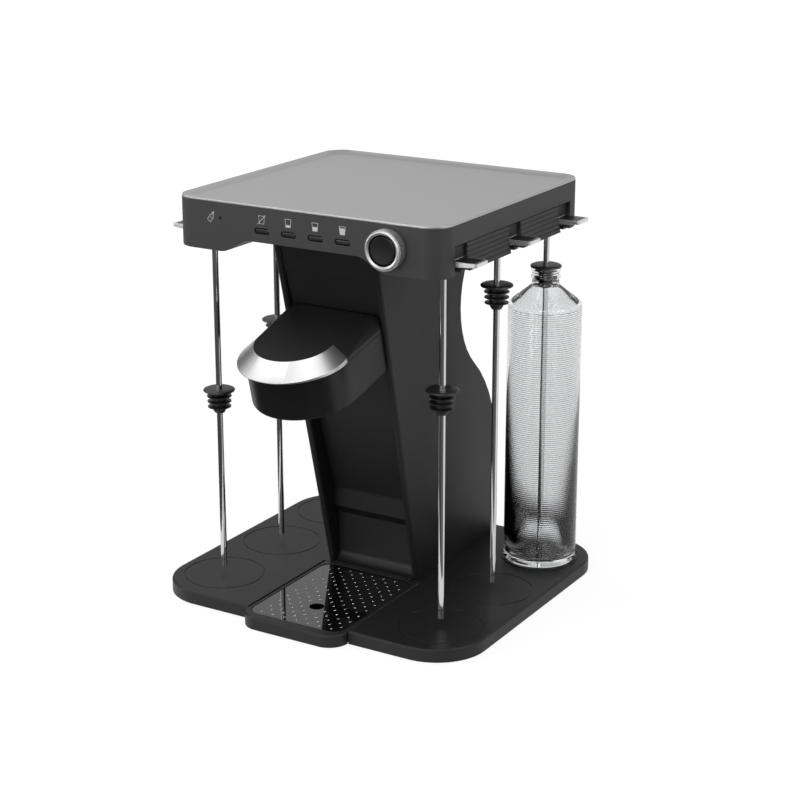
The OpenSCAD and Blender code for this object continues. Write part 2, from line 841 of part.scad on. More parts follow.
// Half section of a stopper: a thin flange over a slim plug with three soft fins
module stopper_section() {
  bore = straw_r + shaft_gap;
  fin_pitch = 5.4;
  polygon(concat(
    [[bore, stopper_top], [9, stopper_top], [13.6, stopper_top - 0.5], [15.4, stopper_top - 1.3],
     [15.8, 1.1], [15.3, 0.3], [14, 0], [9.4, 0], [9.2, -2.2], [plug_r, -3]],
    [for (i = [0:2], p = [[0, -3.6], [1, -4.5], [1, -5.3], [0, -4.9]])
      [plug_r + p[0] * (fin_r - plug_r - 0.3 * i), p[1] - i * fin_pitch]],
    [[plug_r - 0.4, -plug_len + 3], [plug_r - 2.2, -plug_len], [bore, -plug_len]]));
}

module stopper(s, y, z) {
  translate([s * straw_x, y, z]) color(black) rotate_extrude() stopper_section();
}

// Water bottle: thick foot, straight side, cone shoulder and a short neck
water_z = base_h + 0.3;
module water_bottle_section() {
  w = water_wall;
  r = water_r;
  n = water_neck_r;
  lip = 1.1;
  polygon([
    [0, water_z + 1.6], [r - 9, water_z + 1.2], [r - 8, water_z], [r - 1.6, water_z],
    [r - 0.3, water_z + 1.4], [r, water_z + 3],
    [r, water_shoulder_z - 2], [r - 0.7, water_shoulder_z], [n + 1.4, water_neck_z - 1.2],
    [n, water_neck_z + 0.6],
    [n, water_mouth_z - 11], [n + lip, water_mouth_z - 10.2], [n + lip, water_mouth_z - 8.8],
    [n, water_mouth_z - 8],
    [n, water_mouth_z - 4], [n + lip, water_mouth_z - 3], [n + lip, water_mouth_z - 1],
    [n + 0.3, water_mouth_z], [n - 0.9, water_mouth_z],
    [n - 0.9, water_neck_z], [r - w - 0.7, water_shoulder_z - 2],
    [r - w, water_shoulder_z - 4], [r - w, water_z + 9], [r - w - 3, water_z + 6.5],
    [0, water_z + 5.5]]);
}

module water_bottle() {
  translate([right * straw_x, rear_row, 0]) color([0.8, 0.86, 0.9, 0.4]) rotate_extrude($fn = 96)
    water_bottle_section();
}

// Controls behind and on the fascia
module strength_button(i) {
  face = head_front + 0.6;
  color(black) upright(face, head_front + 7)
    translate([(i - 1.5) * button_pitch, button_z]) obround(button_w, button_h);
}

mat_y = head_front + 8.4;
board_y = mat_y + 2;

module button_mat() {
  color(dark) upright(mat_y, board_y) translate([0, button_z]) square([118, 14], center = true);
}

module control_board() {
  color([0.05, 0.25, 0.12]) {
    upright(board_y, board_y + 1.6) translate([-14, arch_z + 16]) square([176, 22], center = true);
    for (x = [-84, -60, -20, 24])
      upright(board_y + 1.6, board_y + 6) translate([x, arch_z + 14]) square([14, 9], center = true);
  }
}

module indicator_lens() {
  color([0.2, 0.3, 0.35])
    rod_y(head_front + 0.1, head_front + wall + 4, led_x, led_z, led_r);
}

knob_gap = 0.4;
module knob_base() {
  sleeve_y = head_front - knob_len + 1.9;
  color(dark) difference() {
    union() {
      rod_y(sleeve_y, head_front + 14, knob_x, button_z, sleeve_r);
      upright(head_front + wall + 0.1, head_front + wall + 2) translate([knob_x, button_z])
        square([2 * sleeve_r + 2, 2 * sleeve_r], center = true);
    }
    rod_y(sleeve_y - 1, head_front + 10, knob_x, button_z, sleeve_bore);
  }
}

module knob_ring() {
  front = head_front - knob_len;
  color(silver) translate([knob_x, 0, button_z]) rotate([90, 0, 0]) rotate_extrude($fn = 96)
    polygon([
      [sleeve_r + shaft_gap, -(head_front - knob_gap)], [knob_r + 1.1, -(head_front - knob_gap)],
      [knob_r + 0.2, -(front + 1.6)], [knob_r - 0.4, -(front + 0.3)], [knob_r - 1.2, -front],
      [sleeve_bore + 0.2, -(front + 1.1)], [sleeve_bore + 0.2, -(front + 1.6)],
      [sleeve_r + shaft_gap, -(front + 1.6)]]);
}

module mix_button() {
  front = head_front - knob_len + 1.2;
  r = sleeve_bore - 1;
  color(black) translate([knob_x, 0, button_z]) rotate([90, 0, 0]) rotate_extrude($fn = 64)
    polygon([
      [0, -(head_front + 7)], [r, -(head_front + 7)], [r, -(front + 0.8)],
      [r - 0.9, -(front + 0.1)], [r * 0.6, -(front + 0.3)], [0, -(front + 0.5)]]);
}

// Capsule head, drawn with its lid's back line at Y 0 and its top at Z 0, then tilted forward
module in_capsule_frame() {
  translate([0, lid_back_y, lid_back_z]) rotate([head_tilt, 0, 0]) children();
}

// Sweeps a half section along straight sides and a half round front
module round_front_sweep(back = 0) {
  translate([0, -capsule_len, 0]) rotate(180) rotate_extrude(angle = 180) children();
  translate([0, back, 0]) rotate([90, 0, 0]) linear_extrude(capsule_len + back) {
    children();
    mirror([1, 0]) children();
  }
}

hinge_l = 5.5;
hinge_z = -5;
barrel_r = 5;
hinge_pin_r = 1.6;
ear_x0 = 38;
ear_x1 = 43;
chamber_r = 37;
shell_t = 2.4;
lid_skin = 2.6;
lid_steps = 48;

// Outline with a round front; hw is its half width at the back line
module lid_outline(hw, r, len) {
  polygon(concat(
    [[-hw, 0], [hw, 0]],
    [for (i = [0:lid_steps])
      let (a = 180 * i / lid_steps)
      [r * cos(a), -len - r * sin(a)]]));
}

// Outer form of the lid: a flat top with sloping sides, upright above the parting line
module lid_form() {
  hull() {
    translate([0, 0, -eps]) linear_extrude(eps)
      lid_outline(lid_top_hw, handle_top_r, handle_top_mid);
    translate([0, 0, -handle_drop]) linear_extrude(eps)
      lid_outline(capsule_r, capsule_r, capsule_len);
  }
  translate([0, 0, -lid_h]) linear_extrude(lid_h - handle_drop + eps / 2)
    lid_outline(capsule_r, capsule_r, capsule_len);
}

// The handle is a sloping crescent round the nose of the lid
handle_back = 65.2;
handle_mid = 75.5;
handle_top_mid = 70;
handle_drop = 11.4;
core_mid = 72.8;
core_r = 50.2;
lip_nose_z = -12.2;

// Space inside the handle that the nose of the lid fills
module handle_core() {
  hull() {
    translate([0, -handle_top_mid, -eps]) cylinder(h = eps, r = handle_top_r, $fn = 96);
    translate([0, -core_mid, -lid_h]) cylinder(h = eps, r = core_r, $fn = 96);
  }
}

// Everything under the handle's lip, which is deeper at its ends than at its nose
module below_lip(gap) {
  nose = -handle_mid - handle_r;
  slope = (lip_nose_z + lid_h) / (handle_mid + handle_r - handle_back);
  sideways(-far, far) polygon([
    [-handle_back + 2, -far], [-handle_back + 2, -lid_h - 2 * slope + gap],
    [nose - 10, lip_nose_z + 10 * slope + gap], [nose - 10, -far]]);
}

module lid_handle() {
  // The core's slope, carried on past the handle's top and underside
  out = (core_r - handle_top_r) / lid_h;
  ahead = (core_mid - handle_top_mid) / lid_h;
  up = 2;
  down = lid_h + 3;
  color(chrome) in_capsule_frame() difference() {
    hull() {
      translate([0, -handle_top_mid, 0]) cylinder(h = 0.3, r = handle_top_r + 0.3, $fn = 96);
      translate([0, -handle_mid, -lid_h - 1])
        cylinder(h = lid_h + 1 - handle_drop, r = handle_r, $fn = 96);
    }
    translate([-far, -handle_back, -far]) cube(2 * far);
    below_lip(0);
    hull() {
      translate([0, -handle_top_mid + ahead * up, up - eps])
        cylinder(h = eps, r = handle_top_r - out * up, $fn = 96);
      translate([0, -handle_top_mid - ahead * down, -down])
        cylinder(h = eps, r = handle_top_r + out * down, $fn = 96);
    }
  }
}

// The space that the tower's side walls take, with a gap round it
module wall_space(gap) {
  difference() {
    sideways(-far, far) polygon([
      [wall_front_y(200) - gap, 200], [wall_front_y(340) - gap, 340], [far, 340], [far, 200]]);
    upright(-far, far) tower_front_view(tower_edge + gap);
  }
}

module lid_hollow(r, skin) {
  back = 14;
  translate([0, -capsule_len, -lid_h - 1]) cylinder(h = lid_h + 1 - skin, r = r);
  translate([-r, -capsule_len, -lid_h - 1]) cube([2 * r, capsule_len - back, lid_h + 1 - skin]);
}

module capsule_lid() {
  color(dark) difference() {
    in_capsule_frame() difference() {
      union() {
        // From the hinge forward to the handle, with a barrel at the back
        intersection() {
          lid_form();
          union() {
            translate([-far, -handle_back, -far])
              cube([2 * far, handle_back - hinge_l, 2 * far]);
            rod_x(-far, far, -hinge_l, hinge_z, barrel_r);
          }
        }
        // Nose inside the handle
        difference() {
          handle_core();
          translate([-far, -handle_back, -far]) cube(2 * far);
          difference() {
            below_lip(0.5);
            translate([0, -capsule_len, -lid_h]) cylinder(h = far, r = capsule_r, $fn = 96);
          }
        }
      }
      lid_hollow(38.5, lid_skin);
      lid_hollow(44, 9);
      // Slots for the hinge ears of the housing
      for (s = sides)
        translate([s > 0 ? ear_x0 - 0.4 : -ear_x1 - 0.4, -hinge_l - barrel_r - 0.5, -far])
          cube([ear_x1 - ear_x0 + 0.8, far, 2 * far]);
      rod_x(-46.2, 46.2, -hinge_l, hinge_z, hinge_pin_r + shaft_gap);
    }
    wall_space(0.5);
  }
}

module lid_hinge_pin() {
  color(silver) in_capsule_frame() rod_x(-46, 46, -hinge_l, hinge_z, hinge_pin_r);
}

module piercing_needle() {
  color(silver) in_capsule_frame() translate([0, -capsule_len, 0]) {
    translate([0, 0, -lid_skin - 4]) cylinder(h = 4, r = 6);
    translate([0, 0, -24]) cylinder(h = 24 - lid_skin - 3, r = 1.6);
    translate([0, 0, -27]) cylinder(h = 3, r1 = 0.5, r2 = 1.6);
  }
}

module capsule_housing() {
  top = -lid_h - 0.3;
  h = capsule_h;
  inner_r = capsule_r - shell_t;
  color(dark) difference() {
    in_capsule_frame() difference() {
      union() {
        difference() {
          round_front_sweep(back = 12) polygon([
            [0, top], [capsule_r, top], [capsule_r, -h + 2.2],
            [capsule_r - 0.7, -h + 0.7], [capsule_r - 2.2, -h], [0, -h]]);
          round_front_sweep(back = 20) polygon([
            [0, top + 1], [inner_r, top + 1], [inner_r, -h + shell_t], [0, -h + shell_t]]);
        }
        // Ring that carries the basket
        translate([0, -capsule_len, -h + 1]) tube(h + top - 5.6, chamber_r + 2.4, chamber_r);
        // Deck over the back part, round the basket, and the hinge ears on it
        difference() {
          translate([-capsule_r + 2, -capsule_len + 30, top - 4])
            cube([2 * capsule_r - 4, capsule_len - 30 + 12, 4]);
          translate([0, -capsule_len, top - 5]) cylinder(h = 6, r = chamber_r + 2.2);
        }
        for (s = sides) {
          rod_x(s > 0 ? ear_x0 : -ear_x1, s > 0 ? ear_x1 : -ear_x0, -hinge_l, hinge_z, barrel_r);
          translate([s > 0 ? ear_x0 : -ear_x1, -hinge_l - barrel_r, top - 2])
            cube([ear_x1 - ear_x0, 2 * barrel_r, 2 + hinge_z - top]);
        }
      }
      translate([0, -capsule_len, -far]) cylinder(h = far, r = 5);
      rod_x(-far, far, -hinge_l, hinge_z, hinge_pin_r + shaft_gap);
    }
    // Meets the sloping panel and passes between the tower's walls
    sideways(-far, far) behind_panel(-0.1);
    wall_space(0.3);
  }
}

module capsule_basket() {
  top = -lid_h - 3.2;
  color(black) in_capsule_frame() translate([0, -capsule_len, 0]) difference() {
    union() {
      translate([0, 0, top - 1.6]) cylinder(h = 1.6, r = chamber_r + 1.6);
      translate([0, 0, -capsule_h + 8]) cylinder(h = top + capsule_h - 8, r = chamber_r - 0.4);
    }
    translate([0, 0, -capsule_h + 10]) cylinder(h = far, r = chamber_r - 2.4);
    translate([0, 0, -far]) cylinder(h = far, r = 4);
  }
}

module spout() {
  color(black) in_capsule_frame() translate([0, -capsule_len, -capsule_h]) difference() {
    union() {
      translate([0, 0, -7]) cylinder(h = 7, r1 = 6.5, r2 = 9);
      cylinder(h = 7, r = 4.9);
    }
    translate([0, 0, -far / 2]) cylinder(h = far, r = 3);
  }
}

// Inside the head and the tower
valve_z = arch_z + floor_t + 2;
valve_w = 72;
valve_d = 230;
tube_z = valve_z + 9;

module valve_block() {
  color([0.75, 0.75, 0.72]) {
    translate([-valve_w / 2, head_shift - valve_d / 2 + 4, valve_z - 2]) cube([valve_w, valve_d, 18]);
    for (s = sides, y = rows)
      translate([s * (valve_w / 2 - 14), y, valve_z + 16]) cylinder(h = 8, r = 9);
  }
}

// One tube from each port: up from the seal, then level to the valve block
module suction_tubes() {
  r = 2.4;
  up_z = shelf_z + 4;
  color([0.85, 0.87, 0.85])
    for (s = sides, y = rows) {
      translate([s * straw_x, y, up_z]) cylinder(h = tube_z - up_z, r = r, $fn = 20);
      translate([s * straw_x, y, tube_z]) sphere(r, $fn = 20);
      rod_x(s > 0 ? valve_w / 2 : -straw_x, s > 0 ? straw_x : -valve_w / 2, y, tube_z, r, $fn = 20);
    }
}

pump_y = 110;
pump_z = 120;

module pump_motor() {
  color(silver) {
    translate([0, pump_y, pump_z - 58]) cylinder(h = 58, r = 19);
    for (x = [-16, 16])
      translate([x - 4, pump_y - 4, base_h + 3]) cube([8, 8, pump_z - 58 - base_h - 3]);
  }
}

module pump() {
  color([0.3, 0.3, 0.32]) {
    translate([-22, pump_y - 22, pump_z]) cube([44, 44, 26]);
    for (x = [-11, 11])
      translate([x, pump_y, pump_z + 26]) cylinder(h = 14, r = 4, $fn = 24);
  }
}

module power_supply() {
  color([0.1, 0.3, 0.15]) {
    translate([-38, 32, base_h + 3]) cube([76, 46, 1.6]);
    translate([-24, 38, base_h + 4.6]) cube([30, 26, 24]);
    translate([18, 48, base_h + 4.6]) cylinder(h = 22, r = 8, $fn = 32);
  }
}

inlet_z = 34;
inlet_w = 24;
inlet_h = 15;

module power_inlet() {
  color(black) difference() {
    translate([0, tower_back_y - 20, inlet_z]) rotate([-90, 0, 0]) linear_extrude(19.6)
      obround(inlet_w, inlet_h);
    translate([0, tower_back_y - 14, inlet_z]) rotate([-90, 0, 0]) linear_extrude(30)
      obround(inlet_w - 4, inlet_h - 4);
  }
}

base_plate();
base_cover();
rubber_feet();
base_screws();
drip_tray();
drip_plate();
tower_shell();
rear_cover();
front_panel();
backsplash();
head_housing();
head_floor();
top_plate();
port_panel(left);  // left_port_panel
port_panel(right);  // right_port_panel
port_seals();
lever_pins();
control_board();
button_mat();
indicator_lens();
strength_button(0);  // strength_button_1
strength_button(1);  // strength_button_2
strength_button(2);  // strength_button_3
strength_button(3);  // strength_button_4
knob_base();
knob_ring();
mix_button();
capsule_housing();
capsule_basket();
capsule_lid();
lid_handle();
lid_hinge_pin();
piercing_needle();
spout();
lever(left, front_row);  // lever_left_front
lever(left, middle_row);  // lever_left_middle
lever(left, rear_row);  // lever_left_rear
lever(right, front_row);  // lever_right_front
lever(right, middle_row);  // lever_right_middle
lever(right, rear_row);  // lever_right_rear
straw(left, front_row);  // straw_left_front
straw(left, middle_row);  // straw_left_middle
straw(left, rear_row);  // straw_left_rear
straw(right, front_row);  // straw_right_front
straw(right, middle_row);  // straw_right_middle
straw(right, rear_row);  // straw_right_rear
stopper(left, front_row, stopper_lf_z);  // stopper_left_front
stopper(left, middle_row, stopper_lm_z);  // stopper_left_middle
stopper(left, rear_row, stopper_lr_z);  // stopper_left_rear
stopper(right, front_row, stopper_rf_z);  // stopper_right_front
stopper(right, middle_row, stopper_rm_z);  // stopper_right_middle
stopper(right, rear_row, water_mouth_z + 0.3);  // stopper_right_rear
water_bottle();
valve_block();
suction_tubes();
pump();
pump_motor();
power_supply();
power_inlet();
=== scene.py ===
import json
import math

import bmesh
import bpy
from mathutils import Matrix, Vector

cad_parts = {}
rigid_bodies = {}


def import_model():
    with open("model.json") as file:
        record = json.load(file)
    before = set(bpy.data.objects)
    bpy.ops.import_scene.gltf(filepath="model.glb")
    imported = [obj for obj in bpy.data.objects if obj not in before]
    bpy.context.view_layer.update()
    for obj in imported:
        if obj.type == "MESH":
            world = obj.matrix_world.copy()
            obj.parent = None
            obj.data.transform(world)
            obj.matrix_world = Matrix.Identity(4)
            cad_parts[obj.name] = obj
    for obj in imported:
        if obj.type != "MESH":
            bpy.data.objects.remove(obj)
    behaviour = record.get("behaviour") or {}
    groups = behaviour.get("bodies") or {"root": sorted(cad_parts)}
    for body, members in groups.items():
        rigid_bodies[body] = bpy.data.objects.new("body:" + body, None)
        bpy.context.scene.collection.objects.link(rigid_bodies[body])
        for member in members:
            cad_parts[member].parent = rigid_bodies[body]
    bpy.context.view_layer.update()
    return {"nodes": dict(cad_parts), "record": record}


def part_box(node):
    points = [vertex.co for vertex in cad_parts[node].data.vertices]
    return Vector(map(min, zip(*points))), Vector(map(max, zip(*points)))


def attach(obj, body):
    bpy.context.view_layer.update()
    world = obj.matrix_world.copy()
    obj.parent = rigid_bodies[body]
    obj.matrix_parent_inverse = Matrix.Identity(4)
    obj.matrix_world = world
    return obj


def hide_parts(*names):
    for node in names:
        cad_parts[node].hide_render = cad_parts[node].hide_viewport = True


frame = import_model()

# Lengths are written in millimetres, and MM turns them into metres

MM = 0.001
NODES = frame["nodes"]
SLOTS = {part["node"]: part["material_slot"] for part in frame["record"]["subparts"]}
BODY_OF = {node: body for body, nodes in frame["record"]["behaviour"]["bodies"].items() for node in nodes}

# Rows of bottle places along Y, and the six places

ROWS = {"front": -77.9, "middle": 25.4, "rear": 128.7}
PLACES = [side + "_" + row for side in ("left", "right") for row in ROWS]

# Front face of the head, and the knob's axis on it

FASCIA_Y = -116.5
KNOB_X, KNOB_Z = 92.2, 385.7

# Water bottle, with its ribs measured up from its foot

BOTTLE_FOOT, BOTTLE_RADIUS = 14.4, 37.35
RIB_FIRST, RIB_LAST, RIB_PITCH = 8.0, 270.0, 2.15

# Heights between which a lever is bright

PADDLE_LOW, PADDLE_HIGH = 369.8, 375.4


# Shader nodes

def feed(tree, socket, value):
    """Gives a socket a plain number, or links it to another socket."""
    if isinstance(value, (int, float)):
        socket.default_value = value
    else:
        tree.links.new(value, socket)


def maths(tree, operation, a, b=None, clamp=False):
    """The result of one sum on numbers or sockets."""
    node = tree.nodes.new("ShaderNodeMath")
    node.operation = operation
    node.use_clamp = clamp
    for socket, value in zip(node.inputs, (a, b)):
        if value is not None:
            feed(tree, socket, value)
    return node.outputs[0]


def noise(tree, scale, detail, vector, rough=0.5):
    """Soft noise from 0 to 1, with its scale in cells to the metre."""
    node = tree.nodes.new("ShaderNodeTexNoise")
    node.inputs["Detail"].default_value = detail
    node.inputs["Roughness"].default_value = rough
    feed(tree, node.inputs["Scale"], scale)
    feed(tree, node.inputs["Vector"], vector)
    return node.outputs[0]


def object_place(tree):
    """Place of a surface point in its object."""
    return tree.nodes.new("ShaderNodeTexCoord").outputs["Object"]


def object_height(tree):
    """Height of a surface point in its object."""
    split = tree.nodes.new("ShaderNodeSeparateXYZ")
    tree.links.new(object_place(tree), split.inputs[0])
    return split.outputs["Z"]


def blend(tree, share, first, second):
    """A colour that goes from the first to the second as the share goes from 0 to 1."""
    node = tree.nodes.new("ShaderNodeMix")
    node.data_type = "RGBA"
    node.inputs["A"].default_value = (*first, 1)
    node.inputs["B"].default_value = (*second, 1)
    tree.links.new(share, node.inputs["Factor"])
    return node.outputs["Result"]


# Shared surface effects

def effect(name, inputs, outputs):
    """An empty shader node group with its sockets, and its input and output nodes."""
    group = bpy.data.node_groups.new(name, "ShaderNodeTree")
    for label in inputs:
        group.interface.new_socket(label, in_out="INPUT", socket_type="NodeSocketFloat")
    for label in outputs:
        group.interface.new_socket(label, in_out="OUTPUT", socket_type="NodeSocketFloat")
    return group, group.nodes.new("NodeGroupInput"), group.nodes.new("NodeGroupOutput")


def put_out_gloss(group, given, made, share):
    """Puts out a roughness from Gloss Low to Gloss High as the share goes from 0 to 1."""
    low, high = given.outputs["Gloss Low"], given.outputs["Gloss High"]
    spread = maths(group, "SUBTRACT", high, low)
    gloss = maths(group, "ADD", low, maths(group, "MULTIPLY", share, spread))
    group.links.new(gloss, made.inputs["Roughness"])


def moulded_grain():
    """Fine pebbled grain of a moulded plastic, and the slow change of its gloss."""
    group, given, made = effect(
        "moulded_grain", ("Grain Scale", "Gloss Low", "Gloss High"), ("Height", "Roughness"))
    place = object_place(group)
    grain = noise(group, given.outputs["Grain Scale"], 2.0, place)
    group.links.new(grain, made.inputs["Height"])
    put_out_gloss(group, given, made, noise(group, 14.0, 3.0, place, 0.6))
    return group


def brushed_metal():
    """Streaks of a brushed or drawn metal, as a height and a roughness."""
    group, given, made = effect(
        "brushed_metal", ("Across", "Along", "Up", "Gloss Low", "Gloss High"), ("Height", "Roughness"))
    size = group.nodes.new("ShaderNodeCombineXYZ")
    for axis, label in enumerate(("Across", "Along", "Up")):
        group.links.new(given.outputs[label], size.inputs[axis])
    stretch = group.nodes.new("ShaderNodeVectorMath")
    stretch.operation = "MULTIPLY"
    group.links.new(object_place(group), stretch.inputs[0])
    group.links.new(size.outputs[0], stretch.inputs[1])
    streak = noise(group, 1.0, 3.0, stretch.outputs[0], 0.6)
    group.links.new(streak, made.inputs["Height"])
    put_out_gloss(group, given, made, streak)
    return group


def faint_smudges():
    """Soft wipe marks on a gloss surface."""
    group, given, made = effect("faint_smudges", ("Scale", "Gloss Low", "Gloss High"), ("Roughness",))
    smear = noise(group, given.outputs["Scale"], 4.0, object_place(group), 0.65)
    clear = maths(group, "MULTIPLY", maths(group, "SUBTRACT", smear, 0.45), 3.0, clamp=True)
    put_out_gloss(group, given, made, clear)
    return group


def height_band():
    """A mask that is 1 between two heights of the object, with a short soft edge."""
    group, given, made = effect("height_band", ("Low", "High", "Edge"), ("Mask",))
    height, edge = object_height(group), given.outputs["Edge"]
    above = maths(group, "DIVIDE", maths(group, "SUBTRACT", height, given.outputs["Low"]), edge, clamp=True)
    below = maths(group, "DIVIDE", maths(group, "SUBTRACT", given.outputs["High"], height), edge, clamp=True)
    group.links.new(maths(group, "MULTIPLY", above, below), made.inputs["Mask"])
    return group


def painted_rib_shade():
    """A mask of painted shade that is 1 in the valleys of the bottle's ribs, by height."""
    group, given, made = effect("painted_rib_shade", ("First", "Last", "Pitch"), ("Mask",))
    height, first = object_height(group), given.outputs["First"]
    turn = maths(group, "DIVIDE", maths(group, "SUBTRACT", height, first), given.outputs["Pitch"])
    wave = maths(group, "COSINE", maths(group, "MULTIPLY", turn, 2 * math.pi))
    # painted shade: the rib valleys are marked here for a greyer colour
    valley = maths(group, "MULTIPLY", maths(group, "ADD", wave, 0.2), 0.9, clamp=True)
    above = maths(group, "GREATER_THAN", height, first)
    below = maths(group, "LESS_THAN", height, given.outputs["Last"])
    ribbed = maths(group, "MULTIPLY", above, below)
    group.links.new(maths(group, "MULTIPLY", valley, ribbed), made.inputs["Mask"])
    return group


GRAIN, BRUSHED, SMUDGES = moulded_grain(), brushed_metal(), faint_smudges()
# the rib mask paints shade into the bottle's colour
BAND, PAINTED_RIB_SHADE = height_band(), painted_rib_shade()


# Finishes

def grey(level):
    return (level, level, level)


def new_finish(name, colour=None):
    """A new material, its node tree and its shader."""
    made = bpy.data.materials.new(name)
    made.use_nodes = True
    shader = made.node_tree.nodes["Principled BSDF"]
    if colour is not None:
        shader.inputs["Base Color"].default_value = (*colour, 1)
    return made, made.node_tree, shader


def with_effect(tree, group, values):
    """An effect placed in a material, with a value for each of its inputs."""
    node = tree.nodes.new("ShaderNodeGroup")
    node.node_tree = group
    for label, value in values.items():
        node.inputs[label].default_value = value
    return node


def bump(tree, shader, height, depth):
    """Fine relief of a surface from a height."""
    node = tree.nodes.new("ShaderNodeBump")
    node.inputs["Strength"].default_value = 1.0
    node.inputs["Distance"].default_value = depth * MM
    tree.links.new(height, node.inputs["Height"])
    tree.links.new(node.outputs["Normal"], shader.inputs["Normal"])


def wipe_marks(tree, shader, scale, rough):
    """Roughness between two values, changed by faint smudges."""
    marks = with_effect(tree, SMUDGES, {"Scale": scale, "Gloss Low": rough[0], "Gloss High": rough[1]})
    tree.links.new(marks.outputs["Roughness"], shader.inputs["Roughness"])


def metal_streaks(tree, rough, cells):
    """Streaks by their cells to the metre across, along and up, between two roughnesses."""
    return with_effect(tree, BRUSHED, {
        "Across": cells[0], "Along": cells[1], "Up": cells[2],
        "Gloss Low": rough[0], "Gloss High": rough[1]})


def moulded(name, colour, gloss, grain=2600.0, depth=0.012, specular=0.5):
    """Moulded plastic or rubber with a fine grain."""
    made, tree, shader = new_finish(name, colour)
    shader.inputs["Specular IOR Level"].default_value = specular
    grains = with_effect(tree, GRAIN, {
        "Grain Scale": grain, "Gloss Low": gloss - 0.05, "Gloss High": gloss + 0.06})
    tree.links.new(grains.outputs["Roughness"], shader.inputs["Roughness"])
    bump(tree, shader, grains.outputs["Height"], depth)
    return made


def glossy(name, colour, rough, coat=0.0):
    """Polished plastic with faint wipe marks."""
    made, tree, shader = new_finish(name, colour)
    shader.inputs["Coat Weight"].default_value = coat
    wipe_marks(tree, shader, 30.0, rough)
    return made


def metal(name, colour, rough, cells, depth):
    """Bare or plated metal with fine streaks."""
    made, tree, shader = new_finish(name, colour)
    shader.inputs["Metallic"].default_value = 1.0
    streaks = metal_streaks(tree, rough, cells)
    tree.links.new(streaks.outputs["Roughness"], shader.inputs["Roughness"])
    bump(tree, shader, streaks.outputs["Height"], depth)
    return made


def clear_plastic(name, rough, colour=None):
    """Clear plastic with faint wipe marks, its node tree and its shader."""
    made, tree, shader = new_finish(name, colour)
    shader.inputs["Transmission Weight"].default_value = 1.0
    shader.inputs["IOR"].default_value = 1.46
    wipe_marks(tree, shader, 20.0, rough)
    return made, tree, shader


def bottle_finish():
    """Clear plastic with painted shade: a little greyer in the valleys between its ribs."""
    made, tree, shader = clear_plastic("clear_bottle", (0.01, 0.05))
    valleys = with_effect(tree, PAINTED_RIB_SHADE, {
        "First": (BOTTLE_FOOT + RIB_FIRST) * MM, "Last": (BOTTLE_FOOT + RIB_LAST) * MM,
        "Pitch": RIB_PITCH * MM}).outputs["Mask"]
    # painted shade: the colour turns grey in the valleys between the ribs
    painted_shade_colour = blend(tree, valleys, (0.93, 0.935, 0.94), (0.5, 0.505, 0.51))
    tree.links.new(painted_shade_colour, shader.inputs["Base Color"])
    return made


def lever_finish():
    """Bright metal on the paddle, black above and below it."""
    made, tree, shader = new_finish("lever_paddle")
    bright = with_effect(tree, BAND, {
        "Low": PADDLE_LOW * MM, "High": PADDLE_HIGH * MM, "Edge": 0.1 * MM}).outputs["Mask"]
    tree.links.new(blend(tree, bright, grey(0.012), grey(0.85)), shader.inputs["Base Color"])
    tree.links.new(bright, shader.inputs["Metallic"])
    streaks = metal_streaks(tree, (0.32, 0.38), (200.0, 200.0, 900.0))
    duller = 0.25
    rough = maths(tree, "SUBTRACT", maths(tree, "ADD", streaks.outputs["Roughness"], duller),
                  maths(tree, "MULTIPLY", bright, duller))
    tree.links.new(rough, shader.inputs["Roughness"])
    bump(tree, shader, streaks.outputs["Height"], 0.0006)
    return made


CHARCOAL = moulded("charcoal_shell", (0.031, 0.031, 0.032), 0.48, specular=0.32)
DARK_SHELL = moulded("dark_shell", (0.0082, 0.0082, 0.0086), 0.44, specular=0.32)
BLACK_SHELL = moulded("black_shell", (0.005, 0.005, 0.0055), 0.33, specular=0.3)
INNER_BLACK = moulded("inner_black", grey(0.008), 0.6)
CAP_BLACK = moulded("knob_cap", grey(0.004), 0.28, depth=0.004, specular=0.3)
RUBBER = moulded("stopper_rubber", grey(0.008), 0.38, grain=1800.0, depth=0.02)
PAD_RUBBER = moulded("lever_pad", grey(0.006), 0.3, grain=3000.0, depth=0.01)
PRINT_WHITE = moulded("print_white", grey(0.42), 0.5, grain=4000.0, depth=0.002)
MILKY = moulded("milky_tube", (0.6, 0.6, 0.58), 0.4)
OFF_WHITE = moulded("off_white_block", (0.55, 0.55, 0.53), 0.5)
BOARD_GREEN = moulded("board_green", (0.01, 0.10, 0.04), 0.4)
MIRROR_BLACK = glossy("mirror_black_plate", grey(0.004), (0.015, 0.04), coat=0.6)
BUTTON_BLACK = glossy("gloss_black_button", grey(0.014), (0.2, 0.26))
TOP_SILVER = metal("top_silver", grey(0.49), (0.38, 0.46), (420.0, 420.0, 420.0), depth=0.002)
HANDLE_SILVER = metal("handle_silver", grey(0.62), (0.33, 0.35), (60.0, 300.0, 300.0), depth=0.0)
KNOB_SILVER = metal("knob_silver", grey(0.55), (0.38, 0.42), (900.0, 200.0, 900.0), depth=0.0)
RIM_STEEL = metal("drain_rim", grey(0.75), (0.12, 0.2), (300.0, 300.0, 300.0), depth=0.0)
STEEL = metal("straw_steel", grey(0.66), (0.05, 0.1), (700.0, 700.0, 8.0), depth=0.0005)
PLATED = metal("plated_steel", grey(0.55), (0.3, 0.4), (300.0, 300.0, 300.0), depth=0.004)
LEVER = lever_finish()
BOTTLE = bottle_finish()
LAMP = clear_plastic("lamp_lens", (0.15, 0.2), (0.25, 0.27, 0.3))[0]

